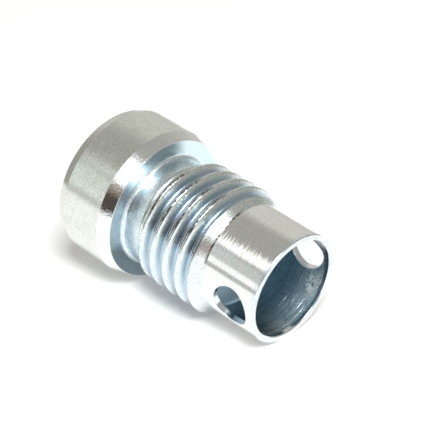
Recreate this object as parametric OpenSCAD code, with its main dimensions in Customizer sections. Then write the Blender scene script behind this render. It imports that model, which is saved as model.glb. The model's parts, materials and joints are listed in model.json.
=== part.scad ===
/* [Head] */
// Diameter of the round head
head_d = 18.8; // [17.5:0.1:24]
// Height of the head from its rear face to its bearing face
head_h = 8.65; // [7:0.05:14]
// Length of the bevel beside the bearing face
front_bevel_l = 1.65; // [0.6:0.05:2.4]
// Radial drop of the bevel beside the bearing face
front_bevel_drop = 0.55; // [0.2:0.05:0.7]
// Length of the bevel beside the rear face
rear_bevel_l = 1.25; // [0.6:0.05:2.4]
// Radial drop of the bevel beside the rear face
rear_bevel_drop = 0.45; // [0.2:0.05:0.7]

/* [Drive socket] */
// Width across flats of the hexagon socket in the rear face
socket_af = 10; // [6:0.5:11]
// Depth of the hexagon socket
socket_depth = 5; // [3:0.25:6]
// Width of the lead-in round the hexagon socket
socket_lead = 0.4; // [0.2:0.05:0.6]

/* [Thread] */
// Major diameter of the thread, measured over its blunted crests
thread_d = 15.7; // [15.5:0.1:17]
// Pitch of the thread
pitch = 2; // [1.6:0.1:2.2]
// Hand of the helix
hand = "left"; // [left, right]
// Length of the plain neck between head and thread
neck_l = 2.55; // [1.5:0.05:4]
// Diameter of the plain neck
neck_d = 13.5; // [12.5:0.05:13.6]
// Radius of the fillet between neck and bearing face
neck_fillet = 0.45; // [0.2:0.05:0.7]
// Length of the threaded land between its two bevels
thread_l = 7.6; // [6:0.1:14]
// Angle of the shoulder that starts the thread, from the axis
shoulder_angle = 40; // [35:1:60]
// Angle of the bevel that ends the thread, from the axis
end_bevel_angle = 40; // [30:1:50]
// Flat steps of the helix in one turn
helix_steps = 40; // [24:2:60]

/* [Tube] */
// Outside diameter of the tube
tube_d = 13.5; // [13:0.05:13.6]
// Radius of the fillet at the foot of the tube
tube_fillet = 0.3; // [0.3:0.05:0.8]
// Diameter of the blind bore
bore_d = 12; // [10:0.1:12.4]
// Depth of the blind bore from the mouth
bore_depth = 7.8; // [6.8:0.1:8.5]
// Length of the tube in front of the end bevel
tube_l = 7.7; // [7:0.1:12]
// Bevel on the inner edge of the mouth
mouth_bevel = 0.1; // [0.05:0.05:0.4]
// Bevel on the outer edge of the mouth
rim_break = 0.1; // [0.05:0.05:0.2]

/* [Cross hole] */
// Diameter of the hole drilled through both walls
hole_d = 4.9; // [3:0.1:5.2]
// Distance of the hole's centre from the mouth
hole_from_mouth = 3.4; // [3.2:0.05:4]

/* [Hidden] */
// Smoothness of round surfaces, and of the fillets in the outline
$fn = 96;
fillet_steps = 6;
// Overlap of cutting bodies past the surface they cut
eps = 0.5;
// Radii
head_r = head_d / 2;
thread_r = thread_d / 2;
neck_r = neck_d / 2;
tube_r = tube_d / 2;
// Depth of the thread in pitches, and the step that its root keeps above neck and tube
depth_ratio = 0.525;
root_step = 0.05;
// Root of the thread, a quarter pitch wide, with sixty degree flanks above it
root_r = max(thread_r - depth_ratio * pitch, max(neck_r, tube_r) + root_step);
root_w = pitch / 4;
// Top of the thread cutter, a little above the crest and still clear of the next turn
cutter_over = 0.1;
cutter_r = thread_r + cutter_over;
cutter_w = root_w + 2 * (cutter_r - root_r) * tan(30);
// Heights along the axis
neck_top = head_h + neck_l;
land_start = neck_top + (thread_r - neck_r) / tan(shoulder_angle);
land_end = land_start + thread_l;
tube_start = land_end + (thread_r - tube_r) / tan(end_bevel_angle);
total_l = tube_start + tube_l;
hole_z = total_l - hole_from_mouth;
// Distance from the corner at the foot of the tube to where its fillet begins
foot_l = tube_fillet * tan(end_bevel_angle / 2);
// Circle round the corners of the hexagon socket
socket_r = socket_af / 2 / cos(30);
// Helix of the thread: it runs out freely over the neck and over the tube
sense = hand == "left" ? -1 : 1;
helix_start = neck_top - cutter_w;
helix_turns = (tube_start + cutter_w - helix_start) / pitch;
sections = ceil(helix_turns * helix_steps);
// Azimuth of the groove at the level of the rear face
helix_phase = 240;

// Node to draw

// One corner of the thread cutter: section k, corner j of four
function cutter_corner(k, j) =
    let (z = helix_start + pitch * k / helix_steps)
    let (r = j < 2 ? root_r : cutter_r)
    let (w = j < 2 ? root_w : cutter_w)
    let (side = j == 0 || j == 3 ? -1 : 1)
    let (a = helix_phase + sense * 360 * z / pitch)
    [r * cos(a), r * sin(a), z + side * w / 2];

// The two triangles between corners j and j + 1 of sections k and k + 1
function cutter_faces(k, j) =
    let (p = 4 * k + j)
    let (q = 4 * k + (j + 1) % 4)
    sense > 0 ? [[p, q + 4, q], [p, p + 4, q + 4]] : [[p, q, q + 4], [p, q + 4, p + 4]];

// Helical cutter with a flat root and sixty degree flanks
module thread_cutter() {
    last = 4 * sections;
    points = [for (k = [0 : sections], j = [0 : 3]) cutter_corner(k, j)];
    sides = [for (k = [0 : sections - 1], j = [0 : 3]) each cutter_faces(k, j)];
    near = sense > 0 ? [[0, 1, 2], [0, 2, 3]] : [[0, 2, 1], [0, 3, 2]];
    far = sense > 0
        ? [[last, last + 2, last + 1], [last, last + 3, last + 2]]
        : [[last, last + 1, last + 2], [last, last + 2, last + 3]];
    polyhedron(points = points, faces = concat(sides, near, far));
}

// Points of a fillet of the outline: centre at radius x and height y, from angle a to angle b
function fillet(x, y, r, a, b) =
    [for (k = [0 : fillet_steps])
        let (t = a + (b - a) * k / fillet_steps)
        [x + r * cos(t), y + r * sin(t)]];

// Turned outline of the whole bolt, before drilling and threading
module turned_blank() {
    rotate_extrude()
        polygon(concat(
            [
                [0, 0],
                [head_r - rear_bevel_drop, 0],
                [head_r, rear_bevel_l],
                [head_r, head_h - front_bevel_l],
                [head_r - front_bevel_drop, head_h]
            ],
            fillet(neck_r + neck_fillet, head_h + neck_fillet, neck_fillet, 270, 180),
            [
                [neck_r, neck_top],
                [thread_r, land_start],
                [thread_r, land_end]
            ],
            fillet(tube_r + tube_fillet, tube_start + foot_l, tube_fillet, 180 + end_bevel_angle, 180),
            [
                [tube_r, total_l - rim_break],
                [tube_r - rim_break, total_l],
                [0, total_l]
            ]
        ));
}

// Blind bore with its bevelled mouth
module blind_bore() {
    translate([0, 0, total_l - bore_depth])
        cylinder(d = bore_d, h = bore_depth + eps);
    translate([0, 0, total_l - mouth_bevel])
        cylinder(d1 = bore_d, d2 = bore_d + 2 * (mouth_bevel + eps), h = mouth_bevel + eps);
}

// Hole drilled through both walls of the tube
module cross_hole() {
    translate([-tube_d, 0, hole_z])
        rotate([0, 90, 0])
            cylinder(d = hole_d, h = 2 * tube_d);
}

// Hexagon socket with a conical lead-in
module drive_socket() {
    translate([0, 0, -eps])
        cylinder(r = socket_r, h = socket_depth + eps, $fn = 6);
    translate([0, 0, -eps])
        cylinder(r1 = socket_r + eps, r2 = socket_r - socket_lead, h = socket_lead + eps);
}

module bolt_body() {
    color([0.72, 0.74, 0.76])
        difference() {
            turned_blank();
            thread_cutter();
            blind_bore();
            cross_hole();
            drive_socket();
        }
}

bolt_body();
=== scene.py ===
"""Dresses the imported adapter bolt: a fine mesh of the turned, threaded and drilled steel, its zinc
finishes, the pale studio round it and the camera.

Lengths are in millimetres in the classes below and become metres when a mesh is made. The bolt stands on
its head along +Z, as its solid does, and the pale table leans against its side, because in the picture
the bolt lies down.
"""
import json
import logging
import math
from dataclasses import dataclass, field
from enum import IntEnum
from typing import Any

import bmesh
import bpy
import numpy as np
from mathutils import Matrix, Vector

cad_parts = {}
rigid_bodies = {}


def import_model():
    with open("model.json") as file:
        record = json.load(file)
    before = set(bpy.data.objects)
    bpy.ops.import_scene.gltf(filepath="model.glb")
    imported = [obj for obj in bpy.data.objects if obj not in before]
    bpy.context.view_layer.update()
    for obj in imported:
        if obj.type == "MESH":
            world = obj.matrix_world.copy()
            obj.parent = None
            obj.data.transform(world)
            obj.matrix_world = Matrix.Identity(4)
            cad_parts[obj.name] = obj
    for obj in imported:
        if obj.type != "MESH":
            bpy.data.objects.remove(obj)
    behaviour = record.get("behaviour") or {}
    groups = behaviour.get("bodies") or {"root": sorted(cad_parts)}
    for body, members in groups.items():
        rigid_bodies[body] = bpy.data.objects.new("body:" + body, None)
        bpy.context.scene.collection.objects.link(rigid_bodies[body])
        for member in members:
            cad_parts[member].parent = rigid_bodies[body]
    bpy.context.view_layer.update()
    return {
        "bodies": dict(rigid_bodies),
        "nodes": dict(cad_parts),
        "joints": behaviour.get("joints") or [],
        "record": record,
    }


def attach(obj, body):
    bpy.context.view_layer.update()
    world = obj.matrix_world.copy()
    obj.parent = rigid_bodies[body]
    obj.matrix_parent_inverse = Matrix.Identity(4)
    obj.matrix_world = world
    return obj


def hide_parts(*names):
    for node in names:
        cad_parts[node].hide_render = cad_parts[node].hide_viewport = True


LOG = logging.getLogger("adapter_bolt")
MM = 0.001
NODE = "bolt_body"
# Columns of the bolt's grids, once round the axis
COLUMNS = 240
# Points closer than this are merged, and edges shorter than this are dropped, in metres
WELD = 2e-7
SLIVER = 1e-8
# Edges that turn by more than this stay sharp, in degrees
SHARP_TURN = 38.0
# Lengths that differ by less than this are taken as equal, in millimetres
EQUAL = 1e-6
Array = np.ndarray
Socket = bpy.types.NodeSocket
Colour = tuple[float, float, float]
Triple = tuple[float, float, float]
Span = tuple[float, float]


class Zone(IntEnum):
    """Zones of the bolt that have a finish of their own, in the order of the material slots."""

    REAR = 0
    HEAD_SIDE = 1
    BEVEL = 2
    RING = 3
    NECK = 4
    THREAD = 5
    TUBE = 6
    RIM = 7
    BORE = 8
    SOCKET = 9


@dataclass(frozen=True)
class BoltSizes:
    """Driving sizes of the bolt, in millimetres and degrees, the same as those of its solid."""

    head_r: float = 9.4
    head_h: float = 8.65
    front_bevel_l: float = 1.65
    front_bevel_drop: float = 0.55
    rear_bevel_l: float = 1.25
    rear_bevel_drop: float = 0.45
    socket_af: float = 10.0
    socket_depth: float = 5.0
    socket_lead: float = 0.4
    thread_r: float = 7.85
    pitch: float = 2.0
    root_r: float = 6.8
    flank_angle: float = 60.0
    neck_l: float = 2.55
    neck_r: float = 6.75
    neck_fillet: float = 0.45
    shoulder_angle: float = 40.0
    thread_l: float = 7.6
    end_bevel_angle: float = 40.0
    tube_r: float = 6.75
    tube_fillet: float = 0.3
    bore_r: float = 6.0
    bore_depth: float = 7.8
    tube_l: float = 7.7
    mouth_bevel: float = 0.1
    rim_break: float = 0.1
    hole_r: float = 2.45
    hole_from_mouth: float = 3.4
    groove_azimuth: float = 240.0

    @property
    def half_root(self) -> float:
        """Half the width of the groove's root, which is a quarter pitch wide."""
        return self.pitch / 8

    @property
    def neck_top(self) -> float:
        """Height where the neck ends and the shoulder begins."""
        return self.head_h + self.neck_l

    @property
    def land_start(self) -> float:
        """Height where the threaded land begins."""
        return self.neck_top + (self.thread_r - self.neck_r) / math.tan(math.radians(self.shoulder_angle))

    @property
    def land_end(self) -> float:
        """Height where the threaded land ends."""
        return self.land_start + self.thread_l

    @property
    def tube_start(self) -> float:
        """Height of the corner between end bevel and tube."""
        return self.land_end + (self.thread_r - self.tube_r) / math.tan(math.radians(self.end_bevel_angle))

    @property
    def total_l(self) -> float:
        """Height of the mouth."""
        return self.tube_start + self.tube_l

    @property
    def hole_z(self) -> float:
        """Height of the cross hole's axis."""
        return self.total_l - self.hole_from_mouth

    @property
    def socket_r(self) -> float:
        """Radius of the circle through the corners of the hexagon socket."""
        return self.socket_af / 2 / math.cos(math.pi / 6)


def rounded_outline(corners: Array, radii: Array, steps: int = 4, guard: float = 0.05) -> Array:
    """Rounds the corners of an open outline.

    Each corner becomes an arc that touches both sides: its centre lies on the bisector, and the touch
    points lie radius times the tangent of half the turn away from the corner. A straight side that is
    longer than four guards gets a guard point beside each end, so that smooth shading keeps it flat.

    Args:
        corners: points of the outline as (count, 2) radii and heights.
        radii: rounding radius at each corner, zero for a plain point.
        steps: flat steps of each arc.
        guard: distance of the guard points from the ends of a side.

    Returns:
        The rounded outline as an array of points.
    """
    arcs: list[Array] = [corners[:1]]
    for before, corner, after, radius in zip(corners[:-2], corners[1:-1], corners[2:], radii[1:-1]):
        into = (corner - before) / np.linalg.norm(corner - before)
        out = (after - corner) / np.linalg.norm(after - corner)
        turn = math.atan2(into[0] * out[1] - into[1] * out[0], float(into @ out))
        touch = corner - into * radius * math.tan(abs(turn) / 2)
        normal = np.array([-into[1], into[0]]) * math.copysign(1.0, turn)
        angle = np.linspace(0.0, turn, steps + 1)[:, None]
        spoke = -normal * radius
        across = np.array([-spoke[1], spoke[0]])
        arcs.append(touch + normal * radius + np.cos(angle) * spoke + np.sin(angle) * across)
    arcs.append(corners[-1:])
    pieces: list[Array] = [arcs[0]]
    for start, end in zip(arcs[:-1], arcs[1:]):
        side = end[0] - start[-1]
        length = float(np.linalg.norm(side))
        if length > 4 * guard:
            pieces.append(np.stack([start[-1] + side * guard / length, end[0] - side * guard / length]))
        pieces.append(end)
    return np.concatenate(pieces)


def turned(radius: Array, height: Array, azimuths: Array) -> Array:
    """Grid of points round the Z axis: radius r, height z and azimuth a give (r cos a, r sin a, z)."""
    return np.stack([radius * np.cos(azimuths), radius * np.sin(azimuths), height + 0 * azimuths], axis=-1)


def revolve(outline: Array, azimuths: Array) -> Array:
    """Turns an outline of radii and heights round the Z axis, with a row for each of its points."""
    return turned(outline[:, :1], outline[:, 1:], azimuths)


def grid_quads(rows: int, columns: int) -> Array:
    """Joins neighbouring rows and columns of a grid whose points are numbered row by row.

    Args:
        rows: count of rows.
        columns: count of columns.

    Returns:
        Point numbers of the quads as (count, 4).
    """
    index = np.arange(rows * columns).reshape(rows, columns)
    corners = [index[:-1, :-1], index[:-1, 1:], index[1:, 1:], index[1:, :-1]]
    return np.stack(corners, axis=-1).reshape(-1, 4)


@dataclass
class Patchwork:
    """Grids of points that are stitched into one closed mesh."""

    points: list[Array] = field(default_factory=list)
    quads: list[Array] = field(default_factory=list)
    zones: list[Array] = field(default_factory=list)
    count: int = 0

    def add(self, grid: Array, zone: Zone) -> None:
        """Adds a grid whose quads join neighbouring rows and columns.

        Args:
            grid: points as (rows, columns, 3), in millimetres.
            zone: the zone whose finish the grid takes.
        """
        rows, columns = grid.shape[:2]
        quads = self.count + grid_quads(rows, columns)
        self.points.append(grid.reshape(-1, 3))
        self.quads.append(quads)
        self.zones.append(np.full(len(quads), int(zone)))
        self.count += rows * columns

    def mesh(self, name: str) -> bpy.types.Mesh:
        """Stitches the grids, drops empty faces and turns all faces outwards.

        Args:
            name: name of the new mesh.

        Returns:
            The closed mesh, in metres, with a material index on each face.
        """
        mesh = bpy.data.meshes.new(name)
        mesh.from_pydata(np.concatenate(self.points) * MM, [], np.concatenate(self.quads))
        mesh.polygons.foreach_set("material_index", np.concatenate(self.zones).astype(np.int32))
        work = bmesh.new()
        work.from_mesh(mesh)
        bmesh.ops.remove_doubles(work, verts=work.verts, dist=WELD)
        bmesh.ops.dissolve_degenerate(work, edges=work.edges, dist=SLIVER)
        bmesh.ops.recalc_face_normals(work, faces=work.faces)
        LOG.info("%s: %d open edges", name, sum(1 for edge in work.edges if not edge.is_manifold))
        work.to_mesh(mesh)
        work.free()
        mesh.shade_smooth()
        mesh.set_sharp_from_angle(angle=math.radians(SHARP_TURN))
        return mesh


@dataclass
class BoltMesh:
    """The whole bolt as one closed mesh: head, neck, thread, tube, bore, cross hole and drive socket.

    Rounds are radii in millimetres, in the order of the outline from the rear face to the mouth. A guard is
    the distance of an extra row from an edge, which keeps smooth shading flat beside it.
    """

    sizes: BoltSizes = field(default_factory=BoltSizes)
    socket_guard: float = 0.05
    socket_floor: float = 0.97  # share of the wall's radius at which the floor has its guard row
    lead_guard: float = 0.03
    head_rounds: tuple[float, ...] = (0.18, 0.12, 0.1, 0.07)
    land_rounds: tuple[float, ...] = (0.15, 0.12, 0.12)
    crest_round: float = 0.12
    root_round: float = 0.16
    crest_fade: float = 0.3  # height above the root over which the crests' rounding grows
    thread_low: float = 11.05
    thread_high: float = 21.6
    spare_turns: int = 3
    # Rows of the thread from the middle of the groove towards that of the crest, in half pitches
    groove_rows: tuple[float, ...] = (
        0.0, 0.07, 0.13, 0.18, 0.22, 0.26, 0.3, 0.36, 0.44, 0.56, 0.68, 0.76, 0.81, 0.85, 0.89, 0.94,
    )
    mouth_round: float = 0.05
    mouth_guard: float = 0.02
    bore_round: float = 0.2
    patch_half: float = 2.85
    patch_columns: int = 20
    patch_rows: int = 24
    hole_edge: float = 0.09
    edge_rows: int = 5
    wall_rows: int = 9
    wall_gather: float = 1.3  # power that draws the wall's rows towards the hole's rim

    @property
    def azimuths(self) -> Array:
        """Angles of the columns, with the first one repeated at the end."""
        return np.linspace(0.0, 2 * np.pi, COLUMNS + 1)

    @property
    def lifts(self) -> Array:
        """Heights of the rows beside the cross holes, above the holes' axis."""
        return np.linspace(-self.patch_half, self.patch_half, self.patch_rows + 1)

    def socket(self) -> Array:
        """Hexagon socket from the middle of its floor to the rear face.

        The wall lies at half the width across flats over the cosine of the angle from the nearest flat. The
        lead-in is a cone through the corners, cut off where it meets the wall or its own depth.

        Returns:
            Grid of points.
        """
        s = self.sizes
        turn = self.azimuths
        wall = s.socket_af / 2 / np.cos((turn % (np.pi / 3)) - np.pi / 6)
        cone = np.maximum(wall, s.socket_r - s.socket_lead)
        edge = s.socket_r - cone
        flat = np.zeros_like(wall)
        rows = [
            (flat, flat + s.socket_depth),
            (self.socket_floor * wall, flat + s.socket_depth),
            (wall, flat + s.socket_depth),
            (wall, flat + s.socket_depth - self.socket_guard),
            (wall, edge + self.lead_guard),
            (wall, edge),
            (cone, edge),
            (flat + s.socket_r, flat),
        ]
        radius, height = np.stack([row[0] for row in rows]), np.stack([row[1] for row in rows])
        return turned(radius, height, turn)

    def head_outlines(self) -> list[tuple[Zone, Array]]:
        """Outline of the head and neck, cut where the finish changes.

        Returns:
            Pairs of zone and outline, from the socket's edge to the foot of the thread.
        """
        s = self.sizes
        points = np.array([
            [s.socket_r, 0.0],
            [s.head_r - s.rear_bevel_drop, 0.0],
            [s.head_r, s.rear_bevel_l],
            [s.head_r, s.head_h - s.front_bevel_l],
            [s.head_r - s.front_bevel_drop, s.head_h],
            [s.neck_r, s.head_h],
            [s.neck_r, self.thread_low],
        ])
        outline = rounded_outline(points, np.array([0, *self.head_rounds, s.neck_fillet, 0]), steps=6)
        low, high = np.flatnonzero(outline[:, 0] > s.head_r - EQUAL)[[0, -1]]
        ring, foot = np.flatnonzero(np.abs(outline[:, 1] - s.head_h) < EQUAL)[[0, -1]]
        return [
            (Zone.REAR, outline[: low + 1]),
            (Zone.HEAD_SIDE, outline[low : high + 1]),
            (Zone.BEVEL, outline[high : ring + 1]),
            (Zone.RING, outline[ring : foot + 1]),
            (Zone.NECK, outline[foot:]),
        ]

    def land_radius(self, height: Array) -> Array:
        """Radius of the turned blank along the thread: neck, shoulder, land, end bevel, fillet and tube.

        Args:
            height: heights, in millimetres.

        Returns:
            Radii at those heights.
        """
        s = self.sizes
        points = np.array([
            [s.neck_r, self.thread_low - 1],
            [s.neck_r, s.neck_top],
            [s.thread_r, s.land_start],
            [s.thread_r, s.land_end],
            [s.tube_r, s.tube_start],
            [s.tube_r, self.thread_high + 1],
        ])
        outline = rounded_outline(points, np.array([0, *self.land_rounds, s.tube_fillet, 0]), steps=24)
        return np.interp(height, outline[:, 1], outline[:, 0])

    def thread(self) -> Array:
        """Helical grid from the neck to the tube.

        Rows follow the left-hand helix: each row falls by one pitch in a turn, so the last column meets the
        first one of the row a pitch below. Heights outside the zone are held at its ends. The groove's
        radius is the root plus the tangent of the flank's angle times the distance from the root's edge,
        and the surface is the smooth lesser of the turned blank and the groove.

        Returns:
            Grid of points.
        """
        s = self.sizes
        half = np.array(self.groove_rows)
        share = np.concatenate([half, [1.0], 2 - half[:0:-1]]) / 2
        turn = self.azimuths[None]
        valley = s.pitch * s.groove_azimuth / 360
        fall = s.pitch * turn / (2 * np.pi)
        first = math.floor((self.thread_low - valley) / s.pitch)
        count = math.ceil((self.thread_high - self.thread_low) / s.pitch) + self.spare_turns
        rows = (first + np.arange(count)[:, None] + share[None]).reshape(-1, 1) * s.pitch
        height = np.clip(valley + rows - fall, self.thread_low, self.thread_high)
        offset = (height - valley + fall) / s.pitch
        distance = np.abs(offset - np.round(offset)) * s.pitch
        rise = (distance - s.half_root) * math.tan(math.radians(s.flank_angle))
        groove = s.root_r + (rise + np.sqrt(rise**2 + self.root_round**2)) / 2
        land = self.land_radius(height)
        blunt = self.crest_round * np.clip((land - s.root_r) / self.crest_fade, 0.0, 1.0)
        radius = (land + groove - np.sqrt((land - groove) ** 2 + blunt**2)) / 2
        return turned(np.maximum(radius, np.minimum(land, s.root_r)), height, turn)

    def mouth_outline(self) -> Array:
        """Outline of the mouth, from the tube's outside above the holes over the rim into the bore.

        Returns:
            The outline's points.
        """
        s = self.sizes
        top = s.hole_z + self.patch_half
        points = np.array([
            [s.tube_r, top],
            [s.tube_r, s.total_l - s.rim_break],
            [s.tube_r - s.rim_break, s.total_l],
            [s.bore_r + s.mouth_bevel, s.total_l],
            [s.bore_r, s.total_l - s.mouth_bevel],
            [s.bore_r, top],
        ])
        return rounded_outline(points, np.full(len(points), self.mouth_round), guard=self.mouth_guard)

    def bottom_outline(self) -> Array:
        """Outline of the bore's end: down the wall below the holes, round the corner and in to the axis.

        Returns:
            The outline's points.
        """
        s = self.sizes
        floor = s.total_l - s.bore_depth
        points = np.array([[s.bore_r, s.hole_z - self.patch_half], [s.bore_r, floor], [0.0, floor]])
        return rounded_outline(points, np.array([0, self.bore_round, 0]), steps=5)

    def wall(self, radius: float, rising: bool) -> list[Array]:
        """Plain parts of a tube wall between the two holes.

        Args:
            radius: radius of the wall.
            rising: whether the rows go up, as on the outside, or down.

        Returns:
            Two grids, one on each side.
        """
        heights = self.sizes.hole_z + (self.lifts if rising else -self.lifts)
        outline = np.stack([np.full_like(heights, radius), heights], axis=1)
        half, edge = COLUMNS // 2, self.patch_columns
        spans = ((edge, half - edge), (half + edge, COLUMNS - edge))
        return [revolve(outline, self.azimuths[low : high + 1]) for low, high in spans]

    def hole(self, azimuth: float) -> list[tuple[Zone, Array]]:
        """One cross hole with the wall round it: a closed band from the outside through it to the bore.

        Columns go once round a rectangle of the wall. On the wall a row lies between the rectangle and the
        hole's rim, on straight lines seen along the hole, and x is the root of radius squared less y
        squared. The rims are quarter rounds, and the drilled wall joins them.

        Args:
            azimuth: direction of the hole, in radians.

        Returns:
            Pairs of zone and grid.
        """
        s = self.sizes
        spread = np.arange(-self.patch_columns, self.patch_columns + 1) * 2 * np.pi / COLUMNS
        lift = self.lifts
        angle = np.concatenate(
            [spread[:-1], 0 * lift[:-1] + spread[-1], spread[:0:-1], 0 * lift + spread[0]]
        )
        rise = np.concatenate(
            [0 * spread[:-1] + lift[0], lift[:-1], 0 * spread[:0:-1] + lift[-1], lift[::-1]]
        )
        bearing = np.arctan2(rise, s.tube_r * np.sin(angle))
        rim = s.hole_r + self.hole_edge

        def on_wall(radius: float, share: Array) -> Array:
            """Rows between the rim (share 0) and the rectangle (share 1), as (depth, across, rise)."""
            across = rim * np.cos(bearing) * (1 - share) + share * radius * np.sin(angle)
            up = rim * np.sin(bearing) * (1 - share) + share * rise
            return np.stack([np.sqrt(radius**2 - across**2), across, up], axis=-1)

        def rim_round(radius: float, bend: Array, inward: float) -> Array:
            """Quarter round from the wall (bend 0) into the drilled wall (bend a right angle)."""
            ring = s.hole_r + self.hole_edge * (1 - np.sin(bend))
            across = ring * np.cos(bearing)
            depth = np.sqrt(radius**2 - across**2) - inward * self.hole_edge * (1 - np.cos(bend))
            return np.stack([depth, across, ring * np.sin(bearing)], axis=-1)

        share = np.linspace(1.0, 0.0, self.wall_rows)[:, None] ** self.wall_gather
        bend = np.linspace(0.0, np.pi / 2, self.edge_rows)[:, None]
        lip, burr = rim_round(s.tube_r, bend, 1.0), rim_round(s.bore_r, bend[::-1], -1.0)
        parts = [
            (Zone.TUBE, on_wall(s.tube_r, share)),
            (Zone.RIM, lip),
            (Zone.RIM, np.stack([lip[-1], burr[0]])),
            (Zone.RIM, burr),
            (Zone.BORE, on_wall(s.bore_r, share[::-1])),
        ]
        cosine, sine = math.cos(azimuth), math.sin(azimuth)
        turn = np.array([[cosine, sine, 0], [-sine, cosine, 0], [0, 0, 1]])
        return [(zone, grid @ turn + [0.0, 0.0, s.hole_z]) for zone, grid in parts]

    def build(self) -> bpy.types.Object:
        """Builds the bolt's object at the origin.

        Returns:
            The object, without materials.
        """
        s = self.sizes
        work = Patchwork()
        work.add(self.socket(), Zone.SOCKET)
        for zone, outline in self.head_outlines():
            work.add(revolve(outline, self.azimuths), zone)
        work.add(self.thread(), Zone.THREAD)
        foot = np.array([[s.tube_r, self.thread_high], [s.tube_r, s.hole_z - self.patch_half]])
        work.add(revolve(foot, self.azimuths), Zone.TUBE)
        for grid in self.wall(s.tube_r, True):
            work.add(grid, Zone.TUBE)
        work.add(revolve(self.mouth_outline(), self.azimuths), Zone.RIM)
        for grid in self.wall(s.bore_r, False):
            work.add(grid, Zone.BORE)
        for azimuth in (0.0, math.pi):
            for zone, grid in self.hole(azimuth):
                work.add(grid, zone)
        work.add(revolve(self.bottom_outline(), self.azimuths), Zone.BORE)
        bolt = bpy.data.objects.new("bolt", work.mesh("bolt"))
        bpy.context.scene.collection.objects.link(bolt)
        return bolt


@dataclass
class NodeTree:
    """Short ways to add and join shader nodes."""

    tree: bpy.types.NodeTree
    noise_roughness: float = 0.62

    @classmethod
    def of(cls, owner: bpy.types.ID) -> "NodeTree":
        """Empties the nodes of a material or world.

        Args:
            owner: the material or world.

        Returns:
            Its nodes.
        """
        owner.use_nodes = True
        owner.node_tree.nodes.clear()
        return cls(owner.node_tree)

    def add(self, kind: str, settings: dict[str, Any] | None = None, **inputs: Any) -> bpy.types.Node:
        """Adds a node.

        Args:
            kind: type name of the node without the ShaderNode prefix.
            settings: properties of the node.
            inputs: values, colours or sockets for the node's inputs, by name with spaces as underscores,
                or i0, i1 by place.

        Returns:
            The new node.
        """
        node = self.tree.nodes.new("ShaderNode" + kind)
        for name, value in (settings or {}).items():
            setattr(node, name, value)
        for name, value in inputs.items():
            by_place = name[0] == "i" and name[1:].isdigit()
            socket = node.inputs[int(name[1:])] if by_place else node.inputs[name.replace("_", " ")]
            if isinstance(value, Socket):
                self.tree.links.new(value, socket)
            else:
                socket.default_value = (*value, 1.0) if socket.type == "RGBA" else value
        return node

    def show(self, shader: Socket, kind: str = "OutputMaterial") -> None:
        """Joins a shader to a new output."""
        self.tree.links.new(shader, self.add(kind).inputs[0])

    def math(self, operation: str, *values: Any) -> Socket:
        """A Math node's result for up to three values or sockets."""
        inputs = {f"i{place}": value for place, value in enumerate(values)}
        return self.add("Math", {"operation": operation}, **inputs).outputs[0]

    def dot(self, vector: Socket, direction: Vector) -> Socket:
        """Dot product of a vector socket and a fixed direction."""
        node = self.add("VectorMath", {"operation": "DOT_PRODUCT"}, i0=vector, i1=tuple(direction))
        return node.outputs["Value"]

    def gap(self, vector: Socket, point: Vector) -> Socket:
        """Distance of a vector socket from a fixed point."""
        node = self.add("VectorMath", {"operation": "DISTANCE"}, i0=vector, i1=tuple(point))
        return node.outputs["Value"]

    def ramp(self, value: Socket, low: float, high: float, to: Span = (0.0, 1.0)) -> Socket:
        """Maps a value from low and high to the two ends of a range, smoothly and held at the ends."""
        ends = {"From_Min": low, "From_Max": high, "To_Min": to[0], "To_Max": to[1]}
        return self.add("MapRange", {"interpolation_type": "SMOOTHSTEP"}, Value=value, **ends).outputs[0]

    def fade(self, length: Socket, ends: Span) -> Socket:
        """Maps a length in metres from two ends in millimetres to 0 and 1."""
        return self.ramp(length, ends[0] * MM, ends[1] * MM)

    def noise(self, vector: Socket, scale: float, detail: float) -> Socket:
        """Noise from 0 to 1 at a scale per unit of the vector."""
        inputs = {"Scale": scale, "Detail": detail, "Roughness": self.noise_roughness}
        return self.add("TexNoise", Vector=vector, **inputs).outputs[0]

    def mix(self, share: Socket, first: Any, second: Any) -> Socket:
        """Mixes two colours or their sockets by the share of the second."""
        return self.add("Mix", {"data_type": "RGBA"}, i0=share, i6=first, i7=second).outputs[2]


@dataclass(frozen=True)
class Spot:
    """A shader's nodes and the sockets that tell where on the bolt it is, in metres."""

    tree: NodeTree
    place: Socket
    x: Socket
    y: Socket
    height: Socket
    radius: Socket

    def facing(self, side: Triple) -> Socket:
        """Cosine of the angle round the axis from a side."""
        return self.tree.math("DIVIDE", self.tree.dot(self.place, Vector(side)), self.radius)


@dataclass(frozen=True)
class Blotches:
    """Noise with a count per millimetre, and the two levels at which its blotches begin and are full."""

    per_mm: float
    detail: float
    levels: Span

    def share(self, spot: Spot, to: Span = (0.0, 1.0)) -> Socket:
        """Share of the blotches at a spot, from one end of a range to the other."""
        noise = spot.tree.noise(spot.place, self.per_mm / MM, self.detail)
        return spot.tree.ramp(noise, *self.levels, to)


STAINS = Blotches(per_mm=0.9, detail=4.0, levels=(0.42, 0.7))
FLECKS = Blotches(per_mm=6.0, detail=2.0, levels=(0.3, 0.7))
BLUES = Blotches(per_mm=0.45, detail=2.0, levels=(0.4, 0.62))
# Noise that breaks up the painted shade line along the thread's crest
SHADE_LINE_GAPS = Blotches(per_mm=2.6, detail=3.0, levels=(0.36, 0.54))
# Noise that breaks up the painted patch of light in the bore
LIT_PATCH_GAPS = Blotches(per_mm=2.2, detail=3.0, levels=(0.34, 0.56))


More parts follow.
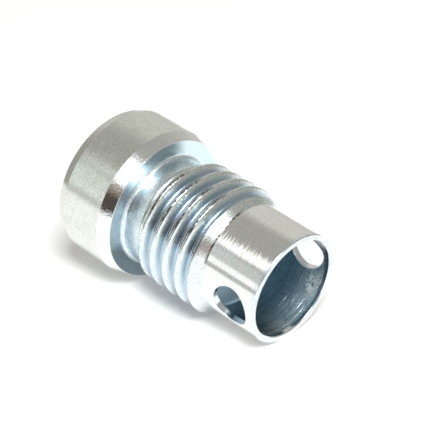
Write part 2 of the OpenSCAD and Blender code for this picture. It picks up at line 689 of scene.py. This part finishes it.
@dataclass(frozen=True)
class ZincFinish:
    """Bright zinc on machined steel, with circular tool marks, waves and grain.

    Rough is the roughness and its spread by marks and grain. Marks, waves and grain give a count per
    millimetre and a depth in micrometres. The drifts tell how fast marks and waves change round the axis.
    """

    name: str
    tint: Colour
    stain: Colour
    rough: Span
    marks: Span
    waves: Span
    grain: Span
    fleck: float
    mark_drift: float = 0.10
    wave_drift: float = 0.16

    def colour(self, spot: Spot) -> Socket:
        """Colour of the zinc: the tint with cloudy stains and fine lighter and darker flecks.

        Args:
            spot: where the shader is.

        Returns:
            The colour's socket.
        """
        cloud = spot.tree.mix(STAINS.share(spot), self.tint, self.stain)
        level = FLECKS.share(spot, (1 - self.fleck, 1 + self.fleck))
        return spot.tree.add("VectorMath", {"operation": "SCALE"}, i0=cloud, Scale=level).outputs[0]

    def roughness(self, spot: Spot, uneven: Socket) -> Socket:
        """Roughness of the zinc, spread by the unevenness of marks and grain, about -1 to 1."""
        return spot.tree.math("MULTIPLY_ADD", uneven, self.rough[1], self.rough[0])

    def material(self) -> bpy.types.Material:
        """Builds the material.

        The tool marks are noise along height less radius, which runs along every turned outline, so they
        circle the axis. Waves, marks and fine grain bend the surface one after the other.

        Returns:
            The new material.
        """
        material = bpy.data.materials.new(self.name)
        tree = NodeTree.of(material)
        place = tree.add("TexCoord").outputs["Object"]
        x, y, z = tree.add("SeparateXYZ", Vector=place).outputs
        square = tree.math("ADD", tree.math("MULTIPLY", x, x), tree.math("MULTIPLY", y, y))
        radius = tree.math("SQRT", square)
        along = tree.math("SUBTRACT", z, radius)

        def circles(per_mm: float, drift: float) -> Socket:
            """Noise that is fine along the outline and long round the axis."""
            parts = [
                tree.math("MULTIPLY", value, count / MM)
                for value, count in ((along, per_mm), (x, drift), (y, drift))
            ]
            vector = tree.add("CombineXYZ", X=parts[0], Y=parts[1], Z=parts[2]).outputs[0]
            return tree.noise(vector, scale=1.0, detail=2.0)

        marks = circles(self.marks[0], self.mark_drift)
        grain = tree.noise(place, self.grain[0] / MM, detail=3.0)
        waves = circles(self.waves[0], self.wave_drift)
        normal: dict[str, Socket] = {}
        for noise, depth in ((waves, self.waves[1]), (marks, self.marks[1]), (grain, self.grain[1])):
            bump = tree.add("Bump", Strength=1.0, Distance=depth * MM * MM, Height=noise, **normal)
            normal = {"Normal": bump.outputs[0]}
        uneven = tree.math("SUBTRACT", tree.math("ADD", marks, grain), 1.0)
        spot = Spot(tree, place, x, y, z, radius)
        colour, rough = self.colour(spot), self.roughness(spot, uneven)
        shader = tree.add("BsdfPrincipled", Base_Color=colour, Metallic=1.0, Roughness=rough, **normal)
        tree.show(shader.outputs[0])
        return material


@dataclass(frozen=True)
class GroovedFinish(ZincFinish):
    """Zinc on the thread: darker and bluer in the grooves, which is painted shade in the blue of the zinc's
    passivation, with a painted dark line of shade along part of the crest and in the end corner.

    Lengths are in millimetres. The shade line's spread gives cosines of the angle from the side where it is
    painted.
    """

    # Painted shade in the grooves: two darker blues, mixed by noise, laid over the zinc by depth below the
    # crest
    groove_shade: Colour = (0.45, 0.57, 0.65)
    lavender_shade: Colour = (0.49, 0.60, 0.71)
    depths: Span = (7.7, 7.1)
    heights: Span = (12.4, 20.2)
    heights_soft: float = 0.2
    # Painted shade: a dark line along the crest on one side of the bolt and in the corner at the tube's foot
    shade_line: Colour = (0.12, 0.095, 0.085)
    shade_line_width: Span = (0.22, 0.09)
    shade_line_side: Triple = (0.397, -0.918, 0.0)
    shade_line_spread: Span = (0.87, 0.955)
    corner_shade_width: Span = (0.14, 0.05)
    sizes: BoltSizes = BoltSizes()

    def colour(self, spot: Spot) -> Socket:
        """Colour of the zinc, mixed with the grooves' painted shade by depth and with the painted shade
        line.

        Args:
            spot: where the shader is.

        Returns:
            The colour's socket.
        """
        tree, (low, high), soft = spot.tree, self.heights, self.heights_soft
        blues = tree.mix(BLUES.share(spot), self.groove_shade, self.lavender_shade)
        above = tree.fade(spot.height, (low - soft, low + soft))
        below = tree.fade(spot.height, (high + soft, high - soft))
        land = tree.math("MULTIPLY", above, below)
        # Painted shade: the grooves take the darker blues by depth below the crest
        depth = tree.math("MULTIPLY", tree.fade(spot.radius, self.depths), land)
        plain = tree.mix(depth, super().colour(spot), blues)
        return tree.mix(self.shade_line_share(spot, land), plain, self.shade_line)

    def shade_line_share(self, spot: Spot, land: Socket) -> Socket:
        """Share of the painted shade line, which follows the crest and the corner at the tube's foot and is
        broken up by noise.

        The crest lies half a pitch from the groove, whose height falls by one pitch in a turn.

        Args:
            spot: where the shader is.
            land: share of the threaded land.

        Returns:
            The share's socket.
        """
        s, tree = self.sizes, spot.tree
        turns = tree.math("DIVIDE", tree.math("ARCTAN2", spot.y, spot.x), 2 * math.pi)
        climb = tree.math("MULTIPLY_ADD", spot.height, 1 / (s.pitch * MM), turns)
        phase = tree.math("FRACT", tree.math("ADD", climb, 2 - s.groove_azimuth / 360))
        away = tree.math("MULTIPLY", tree.math("ABSOLUTE", tree.math("SUBTRACT", phase, 0.5)), s.pitch)
        corner = tree.math("ABSOLUTE", tree.math("SUBTRACT", spot.height, s.tube_start * MM))
        crest = tree.math("MULTIPLY", tree.ramp(away, *self.shade_line_width), land)
        line = tree.math("MAXIMUM", crest, tree.fade(corner, self.corner_shade_width))
        side = tree.ramp(spot.facing(self.shade_line_side), *self.shade_line_spread)
        return tree.math("MULTIPLY", line, tree.math("MULTIPLY", side, SHADE_LINE_GAPS.share(spot)))


@dataclass(frozen=True)
class FacedFinish(ZincFinish):
    """Zinc on the faced ring, with a painted reflection that makes it paler on one side. The spread gives
    cosines of the angle from that side.
    """

    # Painted reflection: the ring's colour turns to this paler one towards the given side
    pale: Colour = (0.74, 0.89, 0.92)
    reflection_side: Triple = (-0.966, -0.259, 0.0)
    reflection_spread: Span = (0.50, 0.74)

    def colour(self, spot: Spot) -> Socket:
        """Colour of the zinc, mixed with the paler colour of the painted reflection towards one side."""
        share = spot.tree.ramp(spot.facing(self.reflection_side), *self.reflection_spread)
        return spot.tree.mix(share, super().colour(spot), self.pale)


@dataclass(frozen=True)
class BoredFinish(ZincFinish):
    """Zinc in the bore: darker with depth as painted shade, with a frosted end face and, by one hole, a
    painted patch of light that is paler and rougher.

    Heights, the patch's middle and its size are in millimetres.
    """

    # Painted shade: the wall turns to this dark colour from the mouth down into the bore
    deep_shade: Colour = (0.11, 0.175, 0.22)
    heights: Span = (29.0, 24.0)
    # Painted light: a pale, rougher patch on the wall by one hole
    lit_patch: Colour = (0.93, 0.97, 0.94)
    lit_patch_rough: float = 0.5
    lit_patch_spot: Triple = (-4.80, 3.60, 28.0)
    lit_patch_size: Span = (2.1, 0.7)
    end: Colour = (0.70, 0.87, 0.95)
    end_heights: Span = (21.62, 21.44)

    def patch(self, spot: Spot) -> Socket:
        """Share of the painted patch of light, which fades away from its middle and is broken by noise."""
        near = spot.tree.fade(spot.tree.gap(spot.place, Vector(self.lit_patch_spot) * MM), self.lit_patch_size)
        return spot.tree.math("MULTIPLY", near, LIT_PATCH_GAPS.share(spot))

    def end_face(self, spot: Spot) -> Socket:
        """Share of the bore's end face, told by its height."""
        return spot.tree.fade(spot.height, self.end_heights)

    def colour(self, spot: Spot) -> Socket:
        """Colour of the zinc, mixed with the painted shade by depth, the painted patch of light and the
        end's colour.

        Args:
            spot: where the shader is.

        Returns:
            The colour's socket.
        """
        tree = spot.tree
        wall = tree.mix(tree.fade(spot.height, self.heights), super().colour(spot), self.deep_shade)
        return tree.mix(self.end_face(spot), tree.mix(self.patch(spot), wall, self.lit_patch), self.end)

    def roughness(self, spot: Spot, uneven: Socket) -> Socket:
        """Roughness of the zinc, raised on the patch of painted light and on the end face.

        Args:
            spot: where the shader is.
            uneven: unevenness, about -1 to 1.

        Returns:
            The roughness's socket.
        """
        frosted = spot.tree.math("MAXIMUM", self.patch(spot), self.end_face(spot))
        raised = spot.tree.math("MULTIPLY", frosted, self.lit_patch_rough)
        return spot.tree.math("MAXIMUM", super().roughness(spot, uneven), raised)


def zinc_finishes() -> dict[Zone, ZincFinish]:
    """Finishes of the bolt's zones.

    Returns:
        A finish for each zone.
    """
    return {
        Zone.REAR: ZincFinish(
            "drawn_rear", tint=(0.78, 0.79, 0.745), stain=(0.72, 0.73, 0.69), rough=(0.16, 0.10),
            marks=(3.0, 0.5), waves=(0.6, 0.6), grain=(6.0, 2.4), fleck=0.10),
        Zone.HEAD_SIDE: ZincFinish(
            "drawn_head", tint=(0.80, 0.835, 0.79), stain=(0.74, 0.775, 0.73), rough=(0.20, 0.12),
            marks=(3.0, 0.6), waves=(0.6, 0.5), grain=(9.0, 3.2), fleck=0.12),
        Zone.BEVEL: ZincFinish(
            "bright_bevel", tint=(0.90, 0.92, 0.925), stain=(0.83, 0.88, 0.90), rough=(0.10, 0.06),
            marks=(9.0, 1.0), waves=(1.2, 2.0), grain=(3.0, 26.0), fleck=0.06),
        # The ring's tint is far darker than the zinc elsewhere: painted shade
        Zone.RING: FacedFinish(
            "faced_ring", tint=(0.42, 0.51, 0.56), stain=(0.36, 0.46, 0.52), rough=(0.20, 0.10),
            marks=(9.0, 1.0), waves=(1.2, 1.5), grain=(3.0, 3.0), fleck=0.12),
        Zone.NECK: ZincFinish(
            "bright_neck", tint=(0.80, 0.89, 0.93), stain=(0.71, 0.82, 0.88), rough=(0.27, 0.12),
            marks=(9.0, 1.5), waves=(1.2, 1.5), grain=(4.0, 7.0), fleck=0.12),
        Zone.THREAD: GroovedFinish(
            "zinc_thread", tint=(0.82, 0.875, 0.88), stain=(0.74, 0.83, 0.80), rough=(0.15, 0.10),
            marks=(9.0, 1.0), waves=(1.0, 0.0), grain=(4.5, 18.0), fleck=0.20),
        Zone.TUBE: ZincFinish(
            "turned_tube", tint=(0.88, 0.885, 0.86), stain=(0.845, 0.88, 0.86), rough=(0.11, 0.06),
            marks=(4.5, 12.0), waves=(1.4, 7.0), grain=(8.0, 0.8), fleck=0.08),
        Zone.RIM: ZincFinish(
            "turned_rim", tint=(0.84, 0.88, 0.90), stain=(0.74, 0.80, 0.84), rough=(0.16, 0.08),
            marks=(9.0, 1.0), waves=(1.2, 1.0), grain=(5.0, 1.5), fleck=0.10),
        Zone.BORE: BoredFinish(
            "bored_zinc", tint=(0.74, 0.83, 0.86), stain=(0.60, 0.71, 0.76), rough=(0.26, 0.24),
            marks=(5.0, 75.0), waves=(1.0, 10.0), grain=(5.0, 22.0), fleck=0.18),
        Zone.SOCKET: ZincFinish(
            "broached_socket", tint=(0.70, 0.76, 0.79), stain=(0.83, 0.88, 0.90), rough=(0.24, 0.1),
            marks=(5.0, 1.2), waves=(1.0, 0.0), grain=(6.0, 1.5), fleck=0.10),
    }


@dataclass(frozen=True)
class TableFrame:
    """The table that the bolt lies on, as a plane through the head's edge and the mouth's edge.

    Up points from the table to the bolt. Azimuths are level angles from the camera's side, positive to its
    right.
    """

    forward: Triple
    normal: Triple = (-0.1885, -0.9748, -0.1196)
    height: float = -10.17
    middle_z: float = 14.5

    @property
    def up(self) -> Vector:
        """Direction away from the table."""
        return Vector(self.normal).normalized()

    @property
    def foot(self) -> Vector:
        """Point of the table below the middle of the bolt, in millimetres."""
        middle = Vector((0.0, 0.0, self.middle_z))
        return middle - self.up * (middle.dot(self.up) - self.height)

    def level(self, azimuth: float) -> Vector:
        """Level direction: front times the azimuth's cosine plus right times its sine.

        Args:
            azimuth: level angle from the camera's side, in degrees.

        Returns:
            The direction.
        """
        front = -Vector(self.forward)
        front = (front - self.up * front.dot(self.up)).normalized()
        turn = math.radians(azimuth)
        return front * math.cos(turn) + self.up.cross(front) * math.sin(turn)

    def ring(self, span: Span, count: int) -> Array:
        """Level directions, evenly spaced over a span of azimuths."""
        return np.array([self.level(float(azimuth)) for azimuth in np.linspace(*span, count)])


def stage_grid(name: str, grid: Array, material: bpy.types.Material) -> bpy.types.Object:
    """Makes a stage object from a grid of points.

    Args:
        name: name of the object.
        grid: points as (rows, columns, 3), in millimetres.
        material: its material.

    Returns:
        The object.
    """
    quads = grid_quads(*grid.shape[:2])[:, [0, 3, 2, 1]]
    mesh = bpy.data.meshes.new(name)
    mesh.from_pydata(grid.reshape(-1, 3) * MM, [], quads)
    mesh.materials.append(material)
    piece = bpy.data.objects.new(name, mesh)
    bpy.context.scene.collection.objects.link(piece)
    return piece


def keep_in_mirrors(piece: bpy.types.Object) -> None:
    """Leaves a stage object to be seen in the metal alone, with no shadow and no light on the table."""
    piece.visible_camera = piece.visible_diffuse = piece.visible_shadow = False


@dataclass
class Table:
    """Pale table top. Seen from behind it is clear, so that it hides nothing in other views."""

    frame: TableFrame
    half_size: float = 1500.0
    paint: Colour = (0.92, 0.925, 0.94)
    glow: float = 0.12

    def build(self) -> bpy.types.Object:
        """Builds the table as a flat grid.

        Returns:
            The table's object.
        """
        span = np.array([-self.half_size, 0.0, self.half_size])
        front, right = np.array(self.frame.level(0.0)), np.array(self.frame.level(90.0))
        grid = np.array(self.frame.foot) + span[:, None, None] * front + span[None, :, None] * right
        return stage_grid("table", grid, self.material())

    def material(self) -> bpy.types.Material:
        """White paint that the eye, mirrors and glass see a little lifted, and that is clear from behind.

        Returns:
            The new material.
        """
        material = bpy.data.materials.new("table_white")
        tree = NodeTree.of(material)
        path = tree.add("LightPath").outputs
        direct = tree.math("MAXIMUM", path["Is Camera Ray"], path["Is Glossy Ray"])
        seen = tree.math("MAXIMUM", direct, path["Is Transmission Ray"])
        paint = tree.add("BsdfDiffuse", Color=self.paint)
        lift = tree.math("MULTIPLY", seen, self.glow)
        glow = tree.add("Emission", Color=(1.0, 1.0, 1.0), Strength=lift)
        both = tree.add("AddShader", i0=paint.outputs[0], i1=glow.outputs[0])
        clear = tree.add("BsdfTransparent")
        behind = tree.add("NewGeometry").outputs["Backfacing"]
        tree.show(tree.add("MixShader", i0=behind, i1=both.outputs[0], i2=clear.outputs[0]).outputs[0])
        return material


@dataclass(frozen=True)
class Flag:
    """A curved card that stands on the table out of the picture, for the metal to mirror."""

    name: str
    azimuth: Span
    distance: float
    height: float
    colour: Colour
    columns: int = 13

    def build(self, frame: TableFrame) -> bpy.types.Object:
        """Builds the card: columns lie on a circle round the bolt's foot and rows rise from the table.

        Args:
            frame: the table it stands on.

        Returns:
            The card's object.
        """
        ring = frame.ring(self.azimuth, self.columns) * self.distance
        rise = np.array([0.0, self.height])[:, None, None] * np.array(frame.up)
        material = bpy.data.materials.new(self.name)
        tree = NodeTree.of(material)
        tree.show(tree.add("Emission", Color=self.colour, Strength=1.0).outputs[0])
        card = stage_grid(self.name, np.array(frame.foot) + ring[None] + rise, material)
        keep_in_mirrors(card)
        return card


@dataclass(frozen=True)
class Panel:
    """A soft-edged panel of the studio: azimuths, elevations and the softness of both, in degrees."""

    azimuth: Span
    elevation: Span
    soft: Span
    colour: Colour


@dataclass
class Studio:
    """Pale room round the table: walls, soft panels, cards and one broad lamp.

    The panels lie on a band of a sphere, later ones over earlier ones: the far wall, the near side with its
    bright edge and strip, the dark gap beside it, two bright panels above and a dark gap in the first.
    """

    frame: TableFrame
    wall: Colour = (0.405, 0.395, 0.365)
    panels: tuple[Panel, ...] = (
        Panel(azimuth=(152.0, 214.0), elevation=(-30.0, 52.0), soft=(14.0, 8.0), colour=(0.64, 0.625, 0.58)),
        Panel(azimuth=(-92.0, -66.0), elevation=(-10.0, 38.0), soft=(4.0, 4.0), colour=(0.60, 0.62, 0.61)),
        Panel(azimuth=(-97.0, -80.0), elevation=(-10.0, 30.0), soft=(2.0, 4.0), colour=(0.80, 0.86, 0.80)),
        Panel(azimuth=(-79.5, -66.0), elevation=(5.0, 16.0), soft=(1.5, 2.0), colour=(1.15, 1.16, 1.16)),
        Panel(azimuth=(-64.0, -20.0), elevation=(-10.0, 34.0), soft=(3.0, 4.0), colour=(0.33, 0.28, 0.22)),
        Panel(azimuth=(-87.0, 4.0), elevation=(38.5, 76.0), soft=(2.5, 4.0), colour=(1.5, 1.5, 1.5)),
        Panel(azimuth=(-4.0, 53.0), elevation=(22.0, 76.0), soft=(7.0, 3.0), colour=(1.5, 1.5, 1.5)),
        Panel(azimuth=(-75.0, -52.0), elevation=(34.0, 71.0), soft=(2.0, 3.0), colour=(0.22, 0.20, 0.19)),
    )
    flags: tuple[Flag, ...] = (
        Flag("dark_card", azimuth=(-62.0, -22.0), distance=130.0, height=64.0, colour=(0.085, 0.066, 0.058)),
        Flag("tan_card", azimuth=(-22.0, 13.0), distance=230.0, height=92.0, colour=(0.43, 0.355, 0.33)),
        Flag("back_card", azimuth=(125.0, 205.0), distance=95.0, height=30.0, colour=(0.60, 0.59, 0.55)),
        Flag("grey_card", azimuth=(205.0, 262.0), distance=95.0, height=34.0, colour=(0.40, 0.395, 0.37)),
        Flag("side_card", azimuth=(-94.0, -64.0), distance=200.0, height=27.0, colour=(0.52, 0.53, 0.52)),
    )
    reach: float = 900.0
    band: Span = (-45.0, 87.0)
    band_rows: int = 12
    band_columns: int = 25
    lamp_azimuth: float = 10.0
    lamp_elevation: float = 54.0
    lamp_distance: float = 850.0
    lamp_size: float = 306.0
    lamp_power: float = 6.3

    def build(self) -> None:
        """Builds the room's light, the panels, the cards and the lamp."""
        self.build_world()
        LOG.info("panels on %s", self.build_panels().name)
        for flag in self.flags:
            LOG.info("card %s", flag.build(self.frame).name)
        LOG.info("lamp %s", self.build_lamp().name)

    def build_world(self) -> None:
        """Gives the world the walls' plain colour."""
        world = bpy.data.worlds.new("studio")
        bpy.context.scene.world = world
        tree = NodeTree.of(world)
        light = tree.add("Background", Color=self.wall, Strength=1.0)
        tree.show(light.outputs[0], "OutputWorld")

    def build_panels(self) -> bpy.types.Object:
        """Builds a band of a sphere round the bolt that is clear but for the panels.

        A point at azimuth a and elevation e lies at the reach along cos e times the level direction at a
        plus sin e times up. The eye doesn't see the band, so that the background stays plain.

        Returns:
            The band's object.
        """
        rise = np.radians(np.linspace(*self.band, self.band_rows))[:, None, None]
        level = self.frame.ring((0.0, 360.0), self.band_columns)[None]
        ways = np.cos(rise) * level + np.sin(rise) * np.array(self.frame.up)
        grid = np.array(self.frame.foot) + self.reach * ways
        band = stage_grid("panels", grid, self.panel_material())
        keep_in_mirrors(band)
        return band

    def panel_material(self) -> bpy.types.Material:
        """Clear material with each panel's light mixed over it by the panel's share.

        Returns:
            The new material.
        """
        material = bpy.data.materials.new("panels")
        tree = NodeTree.of(material)
        place = tree.add("TexCoord").outputs["Object"]
        foot = tuple(self.frame.foot * MM)
        spoke = tree.add("VectorMath", {"operation": "SUBTRACT"}, i0=place, i1=foot).outputs[0]
        way = tree.add("VectorMath", {"operation": "NORMALIZE"}, i0=spoke).outputs[0]
        height = tree.math("DEGREES", tree.math("ARCSINE", tree.dot(way, self.frame.up)))
        shader = tree.add("BsdfTransparent").outputs[0]
        for panel in self.panels:
            light = tree.add("Emission", Color=panel.colour, Strength=1.0).outputs[0]
            share = self.panel_share(tree, way, height, panel)
            shader = tree.add("MixShader", i0=share, i1=shader, i2=light).outputs[0]
        tree.show(shader)
        return material

    def panel_share(self, tree: NodeTree, way: Socket, height: Socket, panel: Panel) -> Socket:
        """Share of a panel in a direction: the product of a soft step at each of its four edges.

        Args:
            tree: the panels' nodes.
            way: direction from the bolt.
            height: its elevation, in degrees.
            panel: the panel.

        Returns:
            The share's socket.
        """
        middle, half = sum(panel.azimuth) / 2, (panel.azimuth[1] - panel.azimuth[0]) / 2
        front, right = self.frame.level(middle), self.frame.level(middle + 90)
        bearing = tree.math("DEGREES", tree.math("ARCTAN2", tree.dot(way, right), tree.dot(way, front)))
        off = tree.math("ABSOLUTE", bearing)
        share = tree.ramp(off, half + panel.soft[0], half - panel.soft[0])
        for edge, sign in zip(panel.elevation, (1, -1)):
            step = tree.ramp(height, edge - sign * panel.soft[1], edge + sign * panel.soft[1])
            share = tree.math("MULTIPLY", share, step)
        return share

    def build_lamp(self) -> bpy.types.Object:
        """Hangs the lamp in the direction of its azimuth and elevation, facing the bolt.

        Returns:
            The lamp's object.
        """
        rise = math.radians(self.lamp_elevation)
        way = self.frame.level(self.lamp_azimuth) * math.cos(rise) + self.frame.up * math.sin(rise)
        data = bpy.data.lights.new("key", "AREA")
        data.shape, data.size, data.energy = "DISK", self.lamp_size * MM, self.lamp_power
        lamp = bpy.data.objects.new("key", data)
        bpy.context.scene.collection.objects.link(lamp)
        lamp.visible_camera = False
        turn = way.to_track_quat("Z", "Y").to_matrix().to_4x4()
        lamp.matrix_world = Matrix.Translation((self.frame.foot + way * self.lamp_distance) * MM) @ turn
        return lamp


@dataclass(frozen=True)
class ViewCamera:
    """Camera at the picture's place, in the part's own frame. The clip distances are in metres."""

    location: Triple = (86.454, -115.145, 110.301)
    right: Triple = (-0.70044, 0.04855, 0.71206)
    up: Triple = (-0.49665, -0.74967, -0.43742)
    forward: Triple = (-0.51257, 0.66003, -0.54921)
    lens: float = 123.23
    sensor: float = 36.0
    clip: Span = (0.01, 20.0)

    def build(self) -> bpy.types.Object:
        """Makes the camera and sets it as the scene's.

        Returns:
            The camera's object.
        """
        data = bpy.data.cameras.new("view")
        data.lens = self.lens
        data.sensor_width = self.sensor
        data.clip_start, data.clip_end = self.clip
        camera = bpy.data.objects.new("view", data)
        bpy.context.scene.collection.objects.link(camera)
        axes = Matrix((self.right, self.up, -Vector(self.forward))).transposed()
        camera.matrix_world = Matrix.Translation(Vector(self.location) * MM) @ axes.to_4x4()
        bpy.context.scene.camera = camera
        return camera


@dataclass
class AdapterBolt:
    """The bolt as one dressed piece that stands for its solid."""

    shape: BoltMesh = field(default_factory=BoltMesh)

    def build(self) -> bpy.types.Object:
        """Builds the mesh, gives each zone its finish and ties the piece to the frame.

        Returns:
            The bolt's object.
        """
        bolt = self.shape.build()
        finishes = zinc_finishes()
        for zone in Zone:
            bolt.data.materials.append(finishes[zone].material())
        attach(bolt, "root")
        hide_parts(NODE)
        return bolt


def main() -> None:
    """Loads the frame and builds camera, studio, table and bolt, in that order."""
    logging.basicConfig(level=logging.INFO)
    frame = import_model()
    LOG.info("frame with nodes %s", sorted(frame["nodes"]))
    view = ViewCamera()
    LOG.info("camera %s", view.build().name)
    leaning = TableFrame(view.forward)
    Studio(leaning).build()
    LOG.info("stage %s", Table(leaning).build().name)
    bolt = AdapterBolt().build()
    LOG.info("piece %s, %d faces", bolt.name, len(bolt.data.polygons))
    bpy.context.scene.view_settings.view_transform = "Standard"


if __name__ == "__main__":
    main()
